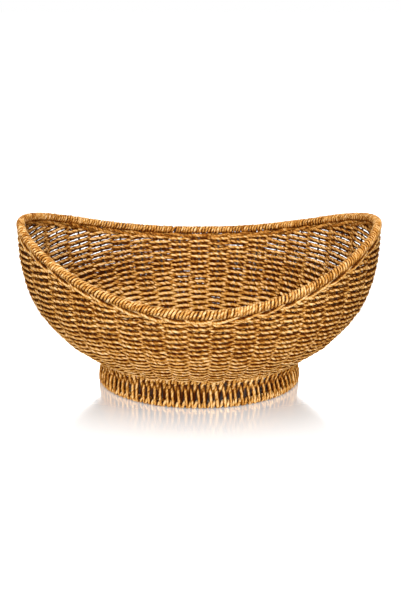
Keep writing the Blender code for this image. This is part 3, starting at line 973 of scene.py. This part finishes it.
def add_floor_weave():
    """One rope laid to and fro across the base, over and under the floor's wires."""
    spacing = 2 * BASE_HALF_LENGTH / (FLOOR_WIRES + 1)
    inset = HOOP_WIRE / 2 + FLOOR_ROPE_HALF
    half_width = BASE_HALF_WIDTH - inset
    count = int(2 * half_width / ROW_PITCH)
    swing = FLOOR_WIRE / 2 + FLOOR_ROPE_HALF * FLOOR_ROPE_PRESS
    points = []
    for row in range(count):
        y = (row - (count - 1) / 2) * ROW_PITCH
        reach = (BASE_HALF_LENGTH - inset) * math.sqrt(1 - (y / BASE_HALF_WIDTH) ** 2)
        x = np.linspace(-reach, reach, max(FEWEST_FLOOR_STEPS, round(2 * reach / FLOOR_STEP)))
        lift = swing * np.cos(math.pi * (x / spacing + row))
        aside = smooth_noise((x + reach) / (2 * reach), *FLOOR_LEVEL_NOISE, closed=False)
        line = np.stack([x, y + aside, lift], axis=-1)
        points.append(line if row % 2 == 0 else line[::-1])
    path = np.concatenate(points)
    path[:, 2] += BASE_HEIGHT
    side = np.tile(UP, (len(path), 1))
    places = np.arange(len(path)) / len(path)
    tone = smooth_noise(places, *FLOOR_TONE_NOISE)
    rope = Rope(path, side, FLOOR_ROPE_HALF, closed=False, tone=tone, depth=CORD_DEPTH_SHARE)
    material = rope_material("floor_rope", ROPE_STOPS, light=-0.03)
    add_ropes("floor_rows", [rope], material, ["floor_weave"])


def finish_wires():
    material = wire_material()
    for name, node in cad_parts.items():
        if "wire" in name or name.startswith(("stake", "foot_post")):
            node.data.materials.clear()
            node.data.materials.append(material)


# Floor, light and camera

FLOOR_SIZE = 8.0
FLOOR_DROP = 0.0002
FLOOR_COLOUR = (0.33, 0.325, 0.321)
FLOOR_ROUGHNESS = 0.15
FLOOR_IOR = 7.0
FULL_GLOSS = 0.5

# The floor's white, for rays from the camera: it starts at the foot's edge, fills in for the
# mirror near the basket, and grows again beyond the mirror's reach. Distances are shares of
# the foot's or the mirror's own size.
FLOOR_GLOW = 0.37
GLOW_EDGE = (0.98, 1.06)
MIRROR_SHARE = 0.32
MIRROR_REACH = 2.8
MIRROR_HALF_LENGTH = 0.16
FAR_GLOW = 0.30
WORLD_LIGHT = 0.30

# Soft studio lamps: place, size in metres and power in watts
LAMPS = {
    "key": ((-0.2, -0.3, 2.0), 1.0, 31.5),
    "front": ((-0.1, -2.0, 0.75), 1.2, 57),
    "left": ((-1.5, -0.9, 1.1), 1.2, 3.5),
    "right": ((1.5, -0.9, 1.1), 1.2, 8),
    "back": ((0.0, 1.8, 1.2), 1.3, 26),
}

# The photograph's camera, fitted to the rim and the foot; lengths on the picture in pixels
CAMERA_DISTANCE = 1.2
CAMERA_ELEVATION = 20.5
CAMERA_TARGET = Vector((0, 0, 0.075))
PHOTO_HEIGHT = 601
FOCAL_PIXELS = 1119.5
PICTURE_SHIFT = (1.42, 12.15)
SENSOR = 36.0


def seen_directly(tree):
    """1 for rays from the camera, or from it by way of gloss or glass."""
    path = add_node(tree, "ShaderNodeLightPath")
    seen = add_math(tree, "MAXIMUM", path.outputs["Is Camera Ray"], path.outputs["Is Glossy Ray"])
    return add_math(tree, "MAXIMUM", seen, path.outputs["Is Transmission Ray"])


def floor_zone(tree, half_length, half_depth):
    """Distance over the floor from the basket's middle: 1 at the zone's edge."""
    node = add_node(tree, "ShaderNodeMapping", vector_type="TEXTURE")
    node.inputs["Scale"].default_value = (half_length, half_depth, 1)
    link(tree, add_node(tree, "ShaderNodeTexCoord").outputs["Object"], node.inputs["Vector"])
    length = add_node(tree, "ShaderNodeVectorMath", operation="LENGTH")
    link(tree, node.outputs["Vector"], length.inputs[0])
    return length.outputs["Value"]


def add_stage_floor():
    mesh = bpy.data.meshes.new("stage_floor")
    half, low = FLOOR_SIZE / 2, -FLOOR_DROP
    corners = [(-half, -half, low), (half, -half, low), (half, half, low), (-half, half, low)]
    mesh.from_pydata(corners, [], [(0, 1, 2, 3)])
    floor = bpy.data.objects.new("stage_floor", mesh)
    bpy.context.scene.collection.objects.link(floor)
    material, tree, shader = new_material("pale_floor")
    shader.inputs["Base Color"].default_value = (*FLOOR_COLOUR, 1)
    shader.inputs["Roughness"].default_value = FLOOR_ROUGHNESS
    shader.inputs["IOR"].default_value = FLOOR_IOR
    shader.inputs["Emission Color"].default_value = (1, 1, 1, 1)
    foot = floor_zone(tree, BASE_HALF_LENGTH, BASE_HALF_WIDTH)
    mirrored = floor_zone(tree, MIRROR_HALF_LENGTH, BASE_HALF_WIDTH)
    fade = add_range(tree, mirrored, 1.0, MIRROR_REACH, 1.0, 0.0)
    fade = add_math(tree, "MULTIPLY", fade, fade)
    gloss = add_math(tree, "MULTIPLY", fade, FULL_GLOSS)
    link(tree, gloss, shader.inputs["Specular IOR Level"])
    glow = add_range(tree, fade, 0.0, 1.0, FLOOR_GLOW + MIRROR_SHARE, FLOOR_GLOW)
    far = add_range(tree, mirrored, MIRROR_REACH, 2 * MIRROR_REACH, 0.0, FAR_GLOW)
    glow = add_math(tree, "ADD", glow, far)
    glow = add_math(tree, "MULTIPLY", glow, add_range(tree, foot, *GLOW_EDGE, 0.0, 1.0))
    glow = add_math(tree, "MULTIPLY", seen_directly(tree), glow)
    link(tree, glow, shader.inputs["Emission Strength"])
    mesh.materials.append(material)


def add_world():
    world = bpy.data.worlds.new("studio")
    world.use_nodes = True
    bpy.context.scene.world = world
    tree = world.node_tree
    tree.nodes.clear()
    light = add_node(tree, "ShaderNodeBackground")
    light.inputs["Color"].default_value = (1, 1, 1, 1)
    light.inputs["Strength"].default_value = WORLD_LIGHT
    white = add_node(tree, "ShaderNodeBackground")
    white.inputs["Color"].default_value = (1, 1, 1, 1)
    mix = add_node(tree, "ShaderNodeMixShader")
    link(tree, seen_directly(tree), mix.inputs["Fac"])
    link(tree, light.outputs["Background"], mix.inputs[1])
    link(tree, white.outputs["Background"], mix.inputs[2])
    output = add_node(tree, "ShaderNodeOutputWorld")
    link(tree, mix.outputs["Shader"], output.inputs["Surface"])


def add_lamp(name, place, size, power):
    lamp = bpy.data.lights.new(name, "AREA")
    lamp.shape = "SQUARE"
    lamp.size = size
    lamp.energy = power
    obj = bpy.data.objects.new(name, lamp)
    obj.location = place
    obj.rotation_euler = (CAMERA_TARGET - Vector(place)).to_track_quat("-Z", "Y").to_euler()
    bpy.context.scene.collection.objects.link(obj)


def add_camera():
    camera = bpy.data.cameras.new("photo_camera")
    camera.sensor_width = SENSOR
    camera.lens = FOCAL_PIXELS * SENSOR / PHOTO_HEIGHT
    camera.shift_x = PICTURE_SHIFT[0] / PHOTO_HEIGHT
    camera.shift_y = PICTURE_SHIFT[1] / PHOTO_HEIGHT
    obj = bpy.data.objects.new("photo_camera", camera)
    turn = math.radians(CAMERA_ELEVATION)
    back = Vector((0, -math.cos(turn), math.sin(turn)))
    obj.location = CAMERA_TARGET + back * CAMERA_DISTANCE
    obj.rotation_euler = (-back).to_track_quat("-Z", "Y").to_euler()
    bpy.context.scene.collection.objects.link(obj)
    bpy.context.scene.camera = obj


add_wall()
add_edge_row()
add_rim()
add_lacing()
add_foot_ring()
add_floor_weave()
finish_wires()
add_stage_floor()
add_world()
for lamp_name, lamp_values in LAMPS.items():
    add_lamp(lamp_name, *lamp_values)
add_camera()
bpy.context.scene.view_settings.view_transform = "Standard"
